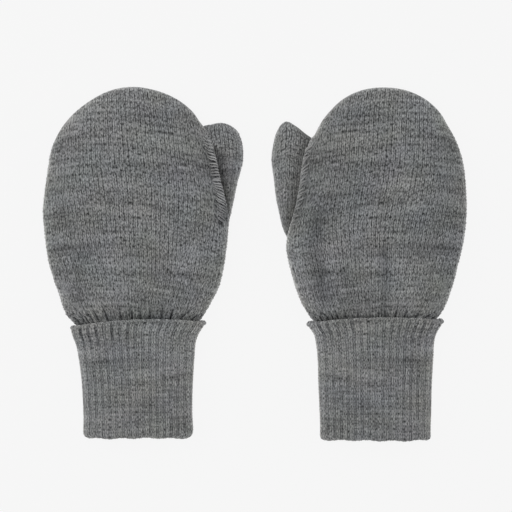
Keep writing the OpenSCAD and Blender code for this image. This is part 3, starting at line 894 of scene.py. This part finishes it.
# %% Outlines of the two cuffs
# On the little finger's side and on the thumb's, each from the fold to the rim
CUFF_LINE = {
    "left": ([
        (-26.1, 0), (-25.9, 5.6), (-25.8, 11.8), (-26.7, 28.2), (-28.4, 42.5), (-29.8, 50.7), (-31.2, 54.8),
        (-32.2, 58.6), (-32.4, 61),
    ], [
        (30, 0), (30, 5.6), (29.7, 11.8), (30, 28.2), (30.8, 42.5), (31.6, 50.7), (33.1, 54.8), (35.9, 59.2),
        (36.8, 61),
    ]),
    "right": ([
        (-28.6, 0), (-28.5, 5.6), (-28.7, 13.8), (-28.8, 26.1), (-29.6, 42.5), (-30.2, 50.7), (-31.5, 54.8),
        (-33.9, 58.8), (-34.6, 61),
    ], [
        (28.4, 0), (28.3, 5.6), (28.5, 13.8), (28.9, 26.1), (29.3, 42.5), (30.2, 50.7), (31.1, 54.8), (33.6, 58.6),
        (34.7, 61),
    ]),
}
CUFF_LENGTH, CUFF_MIDDLE, CUFF_FULLNESS = 61.0, 7.0, 3.0
# Where the rim's outer corner, middle and thumb corner lie along y, and how far the fold is off its mean
RIM_LINE = {"left": [57.5, 61.2, 60.0], "right": [60.8, 62.2, 59.4]}
FOLD_LEVEL = {"left": 0.7, "right": -0.4}
# How far the fold's corners are rounded, along y and x
CORNER = (3.0, 1.6)
# Where the flared rib gapes, along x, and from which y on
GAPES = {"left": [-28.0, -23.9, -20.1, -12.6, -1.6], "right": [26.5, 22.4, -24.0, -30.0]}
GAPE_FROM = {"left": 47.5, "right": 51.5}
RIBS = 36
RIB_HIGH = 0.6
PLY = 1.6


def cuff_places(side, y, inward, columns):
    """Rings of the cuff at rows y, drawn in by the row's inward distance."""
    x0, x1 = (np.interp(y, *smooth_line(line, 400).T[::-1]) for line in CUFF_LINE[side])
    corner = np.sqrt(np.clip(1 - np.clip(1 - (y - FOLD_LEVEL[side]) / CORNER[0], 0, 1) ** 2, 0, 1))
    half_w = (x1 - x0) / 2 - inward - CORNER[1] * (1 - corner)
    middle = CUFF_MIDDLE + 0.8 * eased((y - 51) / 9)
    half_h = middle - inward
    angle = round_the_ring(half_w, half_h, CUFF_FULLNESS, columns)
    u, w = flat_ring(angle, CUFF_FULLNESS)
    x = (x0 + x1)[:, None] / 2 + half_w[:, None] * u
    z = middle[:, None] + half_h[:, None] * w
    low, mid, high = RIM_LINE[side]
    rim = mid + (high - low) / 2 * u + ((high + low) / 2 - mid) * u**2
    up = np.clip(y / CUFF_LENGTH, 0, 1)[:, None]
    level = y[:, None] + (rim - CUFF_LENGTH) * eased((up - 0.35) / 0.65) + FOLD_LEVEL[side] * (1 - up)
    places = np.stack([x, level, z], axis=2)
    places[:, -1] = places[:, 0]
    return places


def gape_depth(side, places, s, y):
    """How wide the rib gapes at each place of its rows y."""
    row, half = np.argmin(np.abs(y - 56)), places.shape[1] // 2
    opening = (eased((y - GAPE_FROM[side]) / 6) * (1 - 0.8 * eased((y - 58.5) / 3)))[:, None]
    gape = 0
    for x in GAPES[side]:
        valley = np.round(np.interp(x, places[row, half::-1, 0], s[row, half::-1]))
        gape = gape + bell(s - valley, 0.1) * opening
    return gape


# %% Knit a turned-back cuff
def knit_turned_back_cuff(side, name, columns_per_rib=12, rows_per_course=3, courses=40):
    columns = RIBS * columns_per_rib
    outside = np.linspace(PLY, 60.2, courses * rows_per_course + 1)
    lip, fold = np.linspace(0, np.pi, 9)[1:], np.linspace(np.pi, 0, 13)
    # The closed skin's stretches: y of the rows, how far in they lie, their courses, and how much is seen
    stretches = (
        (outside, 0 * outside, np.linspace(0, courses, len(outside)), 0 * outside + 1),
        (60.2 + 0.85 * np.sin(lip), 0.8 * (1 - np.cos(lip)), courses + 1.2 * lip / np.pi, 1 - 0.6 * lip / np.pi),
        (np.linspace(58.5, 6, 12), np.full(12, 1.7), np.linspace(courses + 2, 2 * courses, 12), np.zeros(12)),
        ([4.2], [3.2], [2 * courses + 1], [0]),
        (PLY + 0.01 - PLY * np.sin(fold), PLY * (1 - np.cos(fold)), np.linspace(-3.4, 0, 13), np.linspace(0.6, 1, 13)),
    )
    y, inward, course, seen = (np.concatenate(part) for part in zip(*stretches))
    seen = seen[:, None]
    places = cuff_places(side, y, inward, columns)
    normal, _ = outward(places)
    s, t = stitch_grid(course, RIBS, columns)
    height = rib_relief(s, t)
    drawn_courses = 2 * courses + 9
    uneven = stitch_noise(drawn_courses - 2, RIBS, np.floor(t + 5) % drawn_courses, s)
    close = RANDOM.normal(0, 1, RIBS + 1)
    close[-1] = close[0]
    openness = np.interp(s, np.arange(RIBS + 1), close)
    slack = ripple(s, t, 12, 46, 41 + DIRECTION[side])
    calm = 1 - 0.3 * eased((y - 58.6) / 1.2)[:, None]
    gape = gape_depth(side, places, s, y)
    push = (RIB_HIGH * calm * (1 + 0.15 * openness) * (height - 0.75) * (1 + 0.1 * uneven) + 0.25 * slack) * seen
    places = places + normal * (push - 0.5 * gape * seen)[..., None]
    # Each raised wale reaches further at the rim, and the fold isn't quite straight
    at_rim = eased((y - 56) / 4)[:, None] * seen
    places[..., 1] += at_rim * (0.2 * np.cos(2 * np.pi * (s - 0.5)) + 0.3 * ripple(s, 0, 5, 1, 44))
    places[..., 1] += (1 - eased(y / 9))[:, None] * 0.35 * ripple(s, 0, 4, 1, 47)
    # Where the rib flares, its valleys get painted shade, and the gaping ones more; the sides get painted sheen
    open_rib_shade = 1.2 * eased((y - 47) / 9)[:, None] * np.clip(0.5 - height, 0, 1) * np.clip(1 + 0.8 * openness, 0, 2)
    light = (np.clip(height, 0, 1) - open_rib_shade - 1.1 * gape + 0.9 * painted_edge_sheen(normal)) * seen + (1 - seen) * 0.5
    return grid_piece(side, name, closed_round(places, both_ways=True), s, t, light)


for side in DIRECTION:
    cuff = knit_turned_back_cuff(side, f"{side}_rib_cuff")
    finish_piece(side, cuff, RIB, "cuff", "cuff_turnback")


# %% Knit the inner ply, seen through the mouth and when the cuff is turned down
def knit_inner_cuff(side, name, columns_per_rib=6, rows=69, courses=34):
    columns = RIBS * columns_per_rib
    # The two faces: y of the rows, how far in they lie, their courses, and the relief's level. The inner face may
    # stand out a little, the outer one is pressed by the turned-back ply.
    stretches = (
        (np.linspace(2.2, 51.5, rows), np.full(rows, 3.2), np.linspace(0, courses, rows), np.full(rows, 0.8)),
        (np.linspace(51.4, 2.3, rows), np.full(rows, 2.0), np.linspace(courses, 0, rows), np.full(rows, 1.0)),
        ([2.2], [3.2], [0], [1.0]),
    )
    y, inward, course, level = (np.concatenate(part) for part in zip(*stretches))
    places = cuff_places(side, y, inward, columns)
    normal, _ = outward(places)
    s, t = stitch_grid(course, RIBS, columns)
    height = rib_relief(s, t)
    places = places - normal * (0.5 * (height - level[:, None]))[..., None]
    # Painted shade in the rib's hollows
    return grid_piece(side, name, closed_round(places, both_ways=True), s, t, np.clip(height, 0, 1))


for side in DIRECTION:
    inner = knit_inner_cuff(side, f"{side}_inner_cuff")
    finish_piece(side, inner, RIB, "hand", "cuff_inner")

# %% [markdown]
# The rim is bound off: the last loops are drawn over each other into a chain that runs
# round the mouth. The same kind of chain joins the hand to the inner ply at the wrist.
# It is a tube bent round the ring, with a groove wherever one link ends and the next begins.

# %% Chains round the rim and the wrist
LINKS = 2 * RIBS
# Where a chain's crest looks, in radians out from the cuff's direction
CREST = 0.9
# How much thicker the rim's chain is at its two ends
KNOB = {"left": 0.45, "right": 0.9}


def chain_round(side, name, y, inward, radius, knob=0.0, columns_per_link=8, sides=14):
    columns = LINKS * columns_per_link
    ring = cuff_places(side, np.array([y]), np.array([inward]), columns)[0]
    ahead = np.roll(ring[:-1], -1, axis=0) - np.roll(ring[:-1], 1, axis=0)
    ahead = unit(np.concatenate([ahead, ahead[:1]]))
    out = np.cross(ahead, (0, 1, 0))
    out *= np.sign(np.sum(out * (ring - ring.mean(axis=0)), axis=1, keepdims=True))
    turn = np.linspace(-np.pi, np.pi, sides + 1)[:, None]
    s = np.linspace(0, LINKS, columns + 1)[None, :]
    # The crest of the chain looks up and out; the links lean away from it on both sides
    phase = s + 0.55 * np.abs(turn) / (np.pi / 2) + 0.25 * ripple(s, 0, 5, 1, 55)
    dip = bell(phase - np.round(phase), 0.2) + 0.5 * bell(turn, 0.3)
    off_middle = np.abs(ring[:, 0] - ring[:, 0].mean())
    end = off_middle / off_middle.max()
    swell = radius * (1 + knob * eased((end - 0.84) / 0.16))[None, :] * (1 + 0.18 * ripple(s, 0, 5, 1, 56))
    r = swell * (1 - 0.35 * dip)
    along_cuff = (r * np.cos(turn + CREST))[..., None] * np.array((0, 1.0, 0))
    places = ring[None] + along_cuff + (r * np.sin(turn + CREST))[..., None] * out[None]
    # Painted shade in the chain's grooves
    return grid_piece(side, name, closed_round(places, both_ways=True), s, 1.5 * turn / np.pi, 1 - 1.1 * dip)


for side in DIRECTION:
    rim = chain_round(side, f"{side}_bound_off_rim", 60.5, 0.75, 0.78, knob=KNOB[side])
    finish_piece(side, rim, EDGE, "cuff", "cuff_edge")
    join = chain_round(side, f"{side}_wrist_chain", 52.4, 3.6, 1.3, columns_per_link=6, sides=10)
    finish_piece(side, join, RIB, "hand", "wrist_seam")
